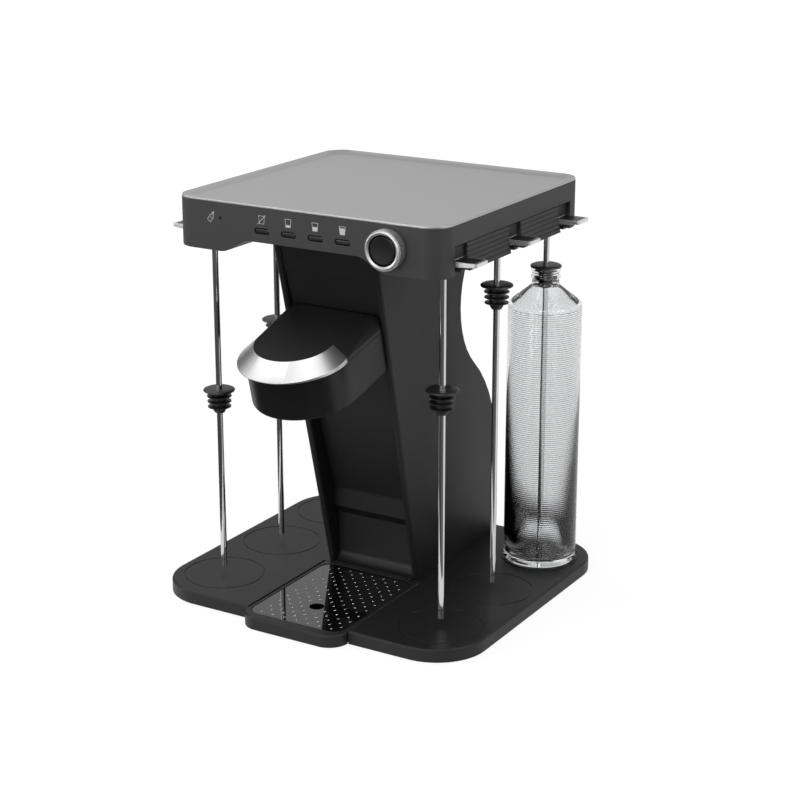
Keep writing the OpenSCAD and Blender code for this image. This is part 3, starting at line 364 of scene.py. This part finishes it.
FINISHES = {
    "charcoal": CHARCOAL, "dark_plastic": INNER_BLACK, "gloss_black": BUTTON_BLACK,
    "satin_silver": TOP_SILVER, "chrome": HANDLE_SILVER, "steel": STEEL, "rubber": RUBBER,
    "clear_rubber": MILKY, "clear_plastic": BOTTLE, "light_plastic": OFF_WHITE,
    "board": BOARD_GREEN, "motor_steel": PLATED, "satin_black": BLACK_SHELL,
}
OWN_FINISH = {
    "drip_plate": MIRROR_BLACK, "knob_ring": KNOB_SILVER, "indicator_lens": LAMP,
    "mix_button": CAP_BLACK, "base_plate": DARK_SHELL, "drip_tray": DARK_SHELL,
    "tower_shell": DARK_SHELL, "front_panel": DARK_SHELL, "backsplash": DARK_SHELL,
    "capsule_lid": DARK_SHELL, "rear_cover": DARK_SHELL,
    **{"lever_" + place: LEVER for place in PLACES},
}


def finish_of(node):
    return OWN_FINISH.get(node) or FINISHES[SLOTS[node]]


def paint(thing, finish):
    """Gives every face of a thing one finish."""
    thing.data.materials.clear()
    thing.data.materials.append(finish)
    for face in thing.data.polygons:
        face.material_index = 0


for name in SLOTS:
    paint(NODES[name], finish_of(name))


# Helpers for pieces

def put_in_scene(name, data):
    """A new object for a mesh, a lamp or the camera."""
    thing = bpy.data.objects.new(name, data)
    bpy.context.scene.collection.objects.link(thing)
    return thing


def smooth(mesh, angle):
    """Smooth faces with sharp edges where they meet at more than an angle in degrees."""
    for face in mesh.polygons:
        face.use_smooth = True
    mesh.set_sharp_from_angle(angle=math.radians(angle))


def add_piece(name, mesh, finish, body, smooth_angle=None):
    """A new piece with one finish, which rides on a body."""
    thing = put_in_scene(name, mesh)
    paint(thing, finish)
    if smooth_angle is not None:
        smooth(mesh, smooth_angle)
    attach(thing, body)
    return thing


def mesh_from(name, points, faces, fix_normals=True):
    """A mesh from points in millimetres, welded and turned outwards if it is closed."""
    mesh = bpy.data.meshes.new(name)
    mesh.from_pydata([Vector(p) * MM for p in points], [], faces)
    if fix_normals:
        shape = bmesh.new()
        shape.from_mesh(mesh)
        bmesh.ops.remove_doubles(shape, verts=shape.verts, dist=0.0001 * MM)
        bmesh.ops.recalc_face_normals(shape, faces=shape.faces)
        shape.to_mesh(mesh)
        shape.free()
    mesh.update()
    return mesh


def applied(thing):
    """Replaces an object's mesh with its evaluated one and takes its modifiers off."""
    graph = bpy.context.evaluated_depsgraph_get()
    made = bpy.data.meshes.new_from_object(thing.evaluated_get(graph))
    thing.modifiers.clear()
    thing.data = made


def flat_regions(shape):
    """The region of each face among faces in one plane, and the area of each region."""
    one_plane = 0.99998
    region = [-1] * len(shape.faces)
    areas = []
    for face in shape.faces:
        if region[face.index] >= 0:
            continue
        label = len(areas)
        region[face.index] = label
        waiting, area = [face], 0.0
        while waiting:
            here = waiting.pop()
            area += here.calc_area()
            for edge in here.edges:
                for other in edge.link_faces:
                    if region[other.index] < 0 and other.normal.dot(here.normal) > one_plane:
                        region[other.index] = label
                        waiting.append(other)
        areas.append(area)
    return region, areas


def even_shading(mesh, angle):
    """Corner normals in which each flat region counts by its whole area."""
    shape = bmesh.new()
    shape.from_mesh(mesh)
    shape.faces.ensure_lookup_table()
    region, areas = flat_regions(shape)
    near = math.cos(math.radians(angle))
    normals = []
    for face in shape.faces:
        for corner in face.loops:
            total = Vector()
            for other in corner.vert.link_faces:
                if other.normal.dot(face.normal) > near:
                    total += other.normal * areas[region[other.index]]
            normals.append(total.normalized() if total.length > 0 else face.normal.copy())
    shape.free()
    mesh.normals_split_custom_set(normals)


def merged_copy(node, broad):
    """A copy of a solid's mesh with its doubles and flat triangles merged."""
    speck, flat = 0.03 * MM, math.radians(0.6)
    mesh = NODES[node].data.copy()
    mesh.name = node + "_edges"
    shape = bmesh.new()
    shape.from_mesh(mesh)
    bmesh.ops.remove_doubles(shape, verts=shape.verts, dist=speck)
    bmesh.ops.dissolve_degenerate(shape, dist=speck, edges=shape.edges)
    bmesh.ops.dissolve_limit(shape, angle_limit=flat, verts=shape.verts, edges=shape.edges)
    if not broad:
        bmesh.ops.connect_verts_concave(shape, faces=shape.faces)
    shape.to_mesh(mesh)
    shape.free()
    for label in ("custom_normal", "sharp_face"):
        if label in mesh.attributes:
            mesh.attributes.remove(mesh.attributes[label])
    return mesh


def soften(node, width):
    """A copy of a solid with its sharp edges rounded, which stands in for it."""
    sharp, shaded, broad = 32, 40, width > 1
    mesh = merged_copy(node, broad)
    smooth(mesh, sharp)
    thing = put_in_scene(node + "_edges", mesh)
    round_over = thing.modifiers.new("round_over", "BEVEL")
    round_over.limit_method = "ANGLE"
    round_over.angle_limit = math.radians(sharp)
    round_over.width = width * MM
    round_over.segments = 4 if broad else 2
    round_over.use_clamp_overlap = False
    round_over.loop_slide = False
    round_over.miter_outer = "MITER_ARC"
    applied(thing)
    even_shading(thing.data, shaded)
    thing.data.name = node + "_edges"
    paint(thing, finish_of(node))
    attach(thing, BODY_OF[node])
    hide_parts(node)


def turned(name, profile, turns, centre):
    """A solid turned round an upright axis from a closed line of radii and heights."""
    points, faces = [], []
    count = len(profile)
    for k in range(turns):
        a = 2 * math.pi * k / turns
        for r, z in profile:
            points.append((centre[0] + r * math.cos(a), centre[1] + r * math.sin(a), centre[2] + z))
    for k in range(turns):
        a, b = k * count, (k + 1) % turns * count
        for i in range(count):
            j = (i + 1) % count
            faces.append((a + i, b + i, b + j, a + j))
    return mesh_from(name, points, faces)


# Geometry trees

class Maker:
    """A geometry node tree with named inputs that ends in Realize Instances and Set Material."""

    def __init__(self, name, inputs):
        self.tree = bpy.data.node_groups.new(name, "GeometryNodeTree")
        self.ids = {}
        sockets = self.tree.interface
        sockets.new_socket("Geometry", in_out="INPUT", socket_type="NodeSocketGeometry")
        for label, kind in {**inputs, "Finish": "Material"}.items():
            socket = sockets.new_socket(label, in_out="INPUT", socket_type="NodeSocket" + kind)
            self.ids[label] = socket.identifier
        sockets.new_socket("Geometry", in_out="OUTPUT", socket_type="NodeSocketGeometry")
        self.given = self.tree.nodes.new("NodeGroupInput")
        self.made = self.tree.nodes.new("NodeGroupOutput")

    def node(self, kind, values=None, **settings):
        """A node with its settings, and with a number or a link for each socket named."""
        node = self.tree.nodes.new(kind)
        for key, value in settings.items():
            setattr(node, key, value)
        for socket, value in (values or {}).items():
            target = node.inputs[socket]
            if isinstance(value, bpy.types.NodeSocket):
                self.tree.links.new(value, target)
            else:
                target.default_value = value
        return node

    def ask(self, label):
        return self.given.outputs[label]

    def finish(self, geometry):
        """Ends the tree, with its instances made real and its finish set."""
        real = self.node("GeometryNodeRealizeInstances", {"Geometry": geometry})
        painted = self.node("GeometryNodeSetMaterial", {
            "Geometry": real.outputs[0], "Material": self.ask("Finish")})
        self.tree.links.new(painted.outputs[0], self.made.inputs[0])
        return self

    def build(self, name, base, body, slot, smooth_angle, **values):
        """What the tree makes of a base mesh, as a plain mesh that rides on a body."""
        thing = put_in_scene(name, base)
        modifier = thing.modifiers.new("shape", "NODES")
        modifier.node_group = self.tree
        for label, value in values.items():
            modifier[self.ids[label.replace("_", " ")]] = value
        thing.update_tag()
        applied(thing)
        thing.data.name = name
        if thing.data.materials[0] is None:
            thing.data.materials.pop(index=0)
        smooth(thing.data, smooth_angle)
        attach(thing, body)


def hole_rims():
    """A thin raised rim set on each point of the mesh it is given."""
    maker = Maker("hole_rims", {"Rim Radius": "Float", "Wire Radius": "Float"})
    path = maker.node("GeometryNodeCurvePrimitiveCircle", {
        "Resolution": 12, "Radius": maker.ask("Rim Radius")})
    wire = maker.node("GeometryNodeCurvePrimitiveCircle", {
        "Resolution": 5, "Radius": maker.ask("Wire Radius")})
    ring = maker.node("GeometryNodeCurveToMesh", {
        "Curve": path.outputs[0], "Profile Curve": wire.outputs[0]})
    rims = maker.node("GeometryNodeInstanceOnPoints", {
        "Points": maker.ask("Geometry"), "Instance": ring.outputs[0]})
    return maker.finish(rims.outputs[0])


def knurl_teeth():
    """Straight teeth round an axis along Y, each a slim bar with an edge outwards."""
    maker = Maker("knurl_teeth", {
        "Count": "Int", "Radius": "Float", "Length": "Float", "Tooth Radius": "Float", "Centre": "Vector"})
    ring = maker.node("GeometryNodeMeshCircle", {
        "Vertices": maker.ask("Count"), "Radius": maker.ask("Radius")})
    tooth = maker.node("GeometryNodeMeshCylinder", {
        "Vertices": 4, "Radius": maker.ask("Tooth Radius"), "Depth": maker.ask("Length")})
    outwards = maker.node("GeometryNodeInputPosition")
    turn = maker.node(
        "FunctionNodeAlignEulerToVector", {"Vector": outwards.outputs[0]}, axis="X", pivot_axis="Z")
    teeth = maker.node("GeometryNodeInstanceOnPoints", {
        "Points": ring.outputs[0], "Instance": tooth.outputs[0], "Rotation": turn.outputs[0]})
    placed = maker.node("GeometryNodeTransform", {
        "Geometry": teeth.outputs[0], "Translation": maker.ask("Centre"),
        "Rotation": (math.radians(90), 0.0, 0.0)})
    return maker.finish(placed.outputs[0])


# Softened edges of the mouldings and metal parts, by their width

EDGE_WIDTHS = {
    "head_housing": 0.35, "top_plate": 0.5, "front_panel": 0.45, "backsplash": 0.3,
    "capsule_housing": 0.15, "capsule_lid": 0.12, "lid_handle": 0.18,
    "drip_tray": 0.5, "base_plate": 0.24, "left_port_panel": 0.12, "right_port_panel": 0.12,
    "knob_ring": 0.2, "mix_button": 0.25, "rear_cover": 0.08, "drip_plate": 0.18,
    **{"strength_button_%d" % k: 1.5 for k in (1, 2, 3, 4)},
    **{"lever_" + place: 0.2 for place in PLACES},
}

for node, width in EDGE_WIDTHS.items():
    soften(node, width)


def knob_teeth():
    """Knurled side of the knob."""
    middle_y = FASCIA_Y - 5.6
    base = bpy.data.meshes.new("knob_teeth")
    knurl_teeth().build(
        "knob_teeth", base, BODY_OF["knob_ring"], SLOTS["knob_ring"], 20,
        Count=60, Radius=18.15 * MM, Length=7.6 * MM, Tooth_Radius=0.75 * MM,
        Centre=(KNOB_X * MM, middle_y * MM, KNOB_Z * MM), Finish=KNOB_SILVER)


knob_teeth()


def drain_rims():
    """Rims of the drain holes in the drip plate, in two grids with one set between the other."""
    across, along, first_row = 13.4, 15.2, 7
    finger_y, finger_room = -100, 9.8
    edge, corner_x, corner_y = 3, 8, 10
    low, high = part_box("drip_plate")
    half, front, back, top = high[0] / MM, low[1] / MM, high[1] / MM, high[2] / MM
    points = []
    for stagger in (0, 0.5):
        for i in range(-3, 4):
            for j in range(9):
                x = (i + stagger) * across
                y = front + first_row + (j + stagger) * along
                on_plate = abs(x) < half - edge and y < back - edge
                off_corner = abs(x) < half - corner_x or front + corner_y < y < back - corner_y
                if on_plate and off_corner and math.hypot(x, y - finger_y) > finger_room:
                    points.append((x, y, top))
    base = mesh_from("drain_rims", points, [], fix_normals=False)
    hole_rims().build("drain_rims", base, BODY_OF["drip_plate"], SLOTS["drip_plate"], 60,
                      Rim_Radius=1.1 * MM, Wire_Radius=0.14 * MM, Finish=RIM_STEEL)


drain_rims()


# Ribbed water bottle

def bottle_ribs():
    """Outline of the ribs one above the other, and the height at which they end."""
    r, deep, near = BOTTLE_RADIUS, 0.17, 0.05
    count = int((RIB_LAST - RIB_FIRST) / RIB_PITCH)
    line = []
    for k in range(count):
        z = RIB_FIRST + k * RIB_PITCH
        line += [(r - deep, z), (r - near, z + 0.24 * RIB_PITCH), (r, z + 0.5 * RIB_PITCH),
                 (r - near, z + 0.76 * RIB_PITCH)]
    return line, RIB_FIRST + count * RIB_PITCH


def shoulder_steps(low, high):
    """Outline of five fine steps on the lower part of a slope between two points."""
    line = []
    for k in range(5):
        share = 0.06 + 0.075 * k
        across = low[0] + (high[0] - low[0]) * share
        up = low[1] + (high[1] - low[1]) * share
        line += [(across + 0.25, up), (across - 0.5, up + 0.15)]
    return line


def ribbed_bottle():
    """The clear bottle, turned from one closed outline of its outside and its inside."""
    r, inside = BOTTLE_RADIUS, BOTTLE_RADIUS - 1.6
    axis, neck, bead, bore = 0.02, 13.6, 14.7, 12.7
    shoulder, neck_foot, mouth = (r - 0.7, 271.9), (neck + 1.4, 289.7), 307.9
    ribs, ribs_end = bottle_ribs()
    outline = [(axis, 1.6), (r - 9, 1.2), (r - 8, 0), (r - 1.6, 0), (r - 0.3, 1.4), (r, 3), (r, 6)]
    outline += ribs + [(r, ribs_end + 0.4), shoulder] + shoulder_steps(shoulder, neck_foot)
    outline += [
        neck_foot, (neck, 291.5), (neck, 296.9), (bead, 297.7), (bead, 299.1), (neck, 299.9),
        (neck, 303.9), (bead, 304.9), (bead, 306.9), (neck + 0.3, mouth), (bore, mouth),
        (bore, 290.9), (inside - 0.7, 269.9), (inside, 267.9), (inside, 9), (inside - 3, 6.5),
        (axis, 5.5)]
    low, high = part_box("water_bottle")
    centre = ((low[0] + high[0]) / 2 / MM, (low[1] + high[1]) / 2 / MM, low[2] / MM)
    tall = (high[2] - low[2]) / MM
    outline = [(across, min(up, tall)) for across, up in outline]
    mesh = turned("ribbed_bottle", outline, 72, centre)
    thing = add_piece("ribbed_bottle", mesh, BOTTLE, BODY_OF["water_bottle"], 60)
    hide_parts("water_bottle")


ribbed_bottle()


def lever_pads():
    """Soft black pads on the lever paddles."""
    inner, outer, low, high = 143.15, 164.35, 374.45, 375.35
    half, forward = 8.95, 1.2
    for place in PLACES:
        side, row = place.split("_")
        s = 1 if side == "right" else -1
        y = ROWS[row] - forward
        points = [(s * x, y + dy, z) for z in (low, high) for x, dy in (
            (inner, -half), (outer, -half), (outer, half), (inner, half))]
        name = "lever_pad_" + place
        mesh = mesh_from(name, points, [
            (0, 1, 2, 3), (4, 5, 6, 7), (0, 1, 5, 4), (1, 2, 6, 5), (2, 3, 7, 6), (3, 0, 4, 7)])
        thing = add_piece(name, mesh, PAD_RUBBER, BODY_OF["lever_" + place], 35)
        round_over = thing.modifiers.new("edge", "BEVEL")
        round_over.width = 0.3 * MM
        round_over.segments = 2
        applied(thing)
        thing.data.name = name


lever_pads()


# Printed signs on the fascia

def strokes(lines, width):
    """Flat bars of one width along straight lines in X and Z."""
    quads = []
    for (x0, z0), (x1, z1) in lines:
        dx, dz = x1 - x0, z1 - z0
        size = math.hypot(dx, dz)
        ux, uz = dx / size * width / 2, dz / size * width / 2
        quads.append([(x0 - ux - uz, z0 - uz + ux), (x1 + ux - uz, z1 + uz + ux),
                      (x1 + ux + uz, z1 + uz - ux), (x0 - ux + uz, z0 - uz - ux)])
    return quads


def outline_of(corners):
    """Lines from each corner to the next, and from the last to the first."""
    return list(zip(corners, corners[1:] + corners[:1]))


def printed(name, quads, middle, turn=0.0):
    """A thin layer of ink on the fascia, in patches with tops at slightly different heights."""
    ink, step, heights = 0.04, 0.004, 7
    points, faces = [], []
    c, s = math.cos(math.radians(turn)), math.sin(math.radians(turn))
    for k, quad in enumerate(quads):
        lift = ink + step * (k % heights)
        start = len(points)
        for y in (FASCIA_Y - lift, FASCIA_Y):
            for x, z in quad:
                points.append((middle[0] + c * x - s * z, y, middle[1] + s * x + c * z))
        faces += [(start, start + 1, start + 2, start + 3), (start + 7, start + 6, start + 5, start + 4)]
        for i in range(4):
            j = (i + 1) % 4
            faces.append((start + i, start + 4 + i, start + 4 + j, start + j))
    mesh = mesh_from(name, points, faces)
    add_piece(name, mesh, PRINT_WHITE, "machine")


def tumbler(fill):
    """Outline of a tumbler, filled from its foot to a share of its height."""
    top, foot, tall = 3.3, 2.4, 7.4
    h = tall / 2
    quads = strokes([((-top, h), (-foot, -h)), ((-foot, -h), (foot, -h)), ((foot, -h), (top, h)),
                     ((-top, h), (top, h))], 0.4)
    if fill > 0:
        level = -h + tall * fill
        half = foot + (top - foot) * fill
        quads.append([(-foot, -h), (foot, -h), (half, level), (-half, level)])
    return quads


def fascia_signs():
    """Four tumblers over the strength buttons, the first struck out, and a bottle by the lamp."""
    pitch, sign_z, tilt = 29.4, 396.6, -38
    for k, fill in enumerate((0.0, 0.28, 0.5, 0.78)):
        quads = tumbler(fill)
        if k == 0:
            quads += strokes([((-4.6, -4.2), (4.4, 4.6))], 0.45)
        printed("tumbler_sign_%d" % (k + 1), quads, ((k - 1.5) * pitch, sign_z))
    half, neck, foot, shoulder, collar, mouth = 2.1, 0.8, -4.2, 1.6, 3.0, 4.8
    bottle = strokes(outline_of([
        (-half, foot), (half, foot), (half, shoulder), (neck, collar),
        (neck, mouth), (-neck, mouth), (-neck, collar), (-half, shoulder)]), 0.45)
    bottle += strokes([((-half, -0.6), (half, 0.4))], 0.4)
    printed("bottle_sign", bottle, (-101.7, 392.8), tilt)
    printed("bottle_sign_drops", strokes([((-0.5, -0.9), (0.4, 0.9))], 0.9), (-99.4, 397.6), tilt)


fascia_signs()


# Stage, lights and camera

def mixed_surface(tree, out, share, first, second):
    """Sends two shaders to the output, mixed by a share from 0 to 1."""
    mix = tree.nodes.new("ShaderNodeMixShader")
    tree.links.new(share, mix.inputs[0])
    tree.links.new(first.outputs[0], mix.inputs[1])
    tree.links.new(second.outputs[0], mix.inputs[2])
    tree.links.new(mix.outputs[0], out.inputs["Surface"])


def studio_world():
    """A soft surround that the camera sees as white, and clear and polished parts in part."""
    world = bpy.data.worlds.new("studio")
    bpy.context.scene.world = world
    world.use_nodes = True
    tree = world.node_tree
    tree.nodes.clear()
    out = tree.nodes.new("ShaderNodeOutputWorld")
    paths = tree.nodes.new("ShaderNodeLightPath").outputs
    white = tree.nodes.new("ShaderNodeBackground")
    soft = tree.nodes.new("ShaderNodeBackground")
    for surround, strength in ((white, 1.0), (soft, 0.42)):
        surround.inputs["Color"].default_value = (1, 1, 1, 1)
        surround.inputs["Strength"].default_value = strength
    heading = tree.nodes.new("ShaderNodeSeparateXYZ")
    tree.links.new(tree.nodes.new("ShaderNodeTexCoord").outputs["Generated"], heading.inputs[0])
    steep = maths(tree, "MULTIPLY", maths(tree, "SUBTRACT", heading.outputs["Z"], 0.12), 3.0, clamp=True)
    level = maths(tree, "SUBTRACT", 1.0, maths(tree, "MULTIPLY", steep, 0.5))
    through = maths(tree, "MULTIPLY", paths["Is Transmission Ray"], level)
    seen = maths(tree, "MAXIMUM", paths["Is Camera Ray"], through)
    mirrored = maths(tree, "MULTIPLY", paths["Is Glossy Ray"], 0.3)
    mixed_surface(tree, out, maths(tree, "MAXIMUM", seen, mirrored), soft, white)


def floor_paper():
    """Pale paper that glows for the camera, a little more away from the object."""
    made = bpy.data.materials.new("pale_floor")
    made.use_nodes = True
    tree = made.node_tree
    tree.nodes.clear()
    out = tree.nodes.new("ShaderNodeOutputMaterial")
    paper = tree.nodes.new("ShaderNodeBsdfDiffuse")
    paper.inputs["Color"].default_value = (0.82, 0.82, 0.82, 1)
    glow = tree.nodes.new("ShaderNodeEmission")
    glow.inputs["Strength"].default_value = 1.08
    paths = tree.nodes.new("ShaderNodeLightPath").outputs
    seen = maths(tree, "MAXIMUM", paths["Is Camera Ray"], paths["Is Transmission Ray"])
    seen = maths(tree, "MAXIMUM", seen, maths(tree, "MULTIPLY", paths["Is Glossy Ray"], 0.5))
    reach = tree.nodes.new("ShaderNodeVectorMath")
    reach.operation = "LENGTH"
    tree.links.new(object_place(tree), reach.inputs[0])
    far = maths(tree, "MULTIPLY", maths(tree, "SUBTRACT", reach.outputs["Value"], 0.5), 0.8, clamp=True)
    share = maths(tree, "ADD", maths(tree, "MULTIPLY", far, 0.15), 0.8)
    mixed_surface(tree, out, maths(tree, "MULTIPLY", seen, share), paper, glow)
    return made


def floor_sheet():
    """The floor, wide enough to reach past every view."""
    half = 9000
    corners = [(-half, -half, 0), (half, -half, 0), (half, half, 0), (-half, half, 0)]
    mesh = mesh_from("floor", corners, [(0, 1, 2, 3)], fix_normals=False)
    mesh.materials.append(floor_paper())
    floor = put_in_scene("floor", mesh)


def softbox(name, place, look_at, size, power):
    """A rectangular lamp that faces a point, with its places in metres."""
    lamp = bpy.data.lights.new(name, "AREA")
    lamp.shape = "RECTANGLE"
    lamp.size, lamp.size_y = size
    lamp.energy = power
    thing = put_in_scene(name, lamp)
    thing.location = place
    thing.rotation_euler = (Vector(look_at) - Vector(place)).to_track_quat("-Z", "Y").to_euler()
    thing.visible_camera = False


def dark_card(name, points, faces, finish_name, shade):
    """A dark card that shows in reflections only."""
    card = mesh_from(name, points, faces, fix_normals=False)
    finish, _, shader = new_finish(finish_name, grey(shade))
    shader.inputs["Roughness"].default_value = 0.9
    card.materials.append(finish)
    thing = put_in_scene(name, card)
    thing.visible_camera = False
    thing.visible_diffuse = False
    thing.visible_shadow = False
    thing.visible_transmission = False


def floor_flag(name, start, end, shade):
    """A dark sheet on the floor round part of the object, between two headings in degrees."""
    near, far, lift, steps = 300, 2600, 0.6, 12
    points = []
    for k in range(steps + 1):
        a = math.radians(start + (end - start) * k / steps)
        for r in (near, far):
            points.append((r * math.cos(a), r * math.sin(a), lift))
    faces = [(2 * k, 2 * k + 1, 2 * k + 3, 2 * k + 2) for k in range(steps)]
    dark_card(name, points, faces, name, shade)


def left_flag():
    """A tall black card at the left, which faces the object."""
    x, y, z = -1900, 500, 600
    across, tall = 900, 1600
    size = math.hypot(x, y)
    ux, uy = -y / size * across / 2, x / size * across / 2
    corners = [(x - ux, y - uy, z - tall / 2), (x + ux, y + uy, z - tall / 2),
               (x + ux, y + uy, z + tall / 2), (x - ux, y - uy, z + tall / 2)]
    dark_card("left_flag", corners, [(0, 1, 2, 3)], "black_card", 0.01)


def photograph_camera():
    """The camera at the place and angle of the photograph, in metres."""
    eye = bpy.data.cameras.new("photograph")
    eye.sensor_width = 36
    eye.lens = 86.74
    eye.clip_start, eye.clip_end = 0.05, 50
    camera = put_in_scene("photograph", eye)
    camera.location = (0.9610, -1.5457, 0.7773)
    camera.rotation_euler = (math.radians(72.34), 0, math.radians(30.93))
    bpy.context.scene.camera = camera


def stage_and_light():
    """A pale floor, soft lights, black flags and the camera at the photograph's angle."""
    bpy.context.scene.view_settings.view_transform = "Standard"
    studio_world()
    floor_sheet()
    softbox("overhead", (-0.4, 0.0, 2.0), (-0.1, 0.0, 0.3), (1.7, 2.7), 21)
    softbox("left_wall", (-1.9, -0.9, 0.8), (0, 0, 0.2), (0.7, 1.4), 10)
    softbox("right_wall", (1.9, -0.1, 1.3), (0, 0, 0.35), (0.7, 1.2), 9.5)
    softbox("front_high", (0.5, -1.9, 1.7), (0, 0, 0.25), (1.4, 0.8), 13)
    softbox("front_low", (-0.5, -2.2, 0.42), (0, 0, 0.22), (1.6, 0.5), 11)
    floor_flag("dark_floor", -180, -62, 0.01)
    floor_flag("grey_floor", -62, -12, 0.1)
    left_flag()
    photograph_camera()


stage_and_light()
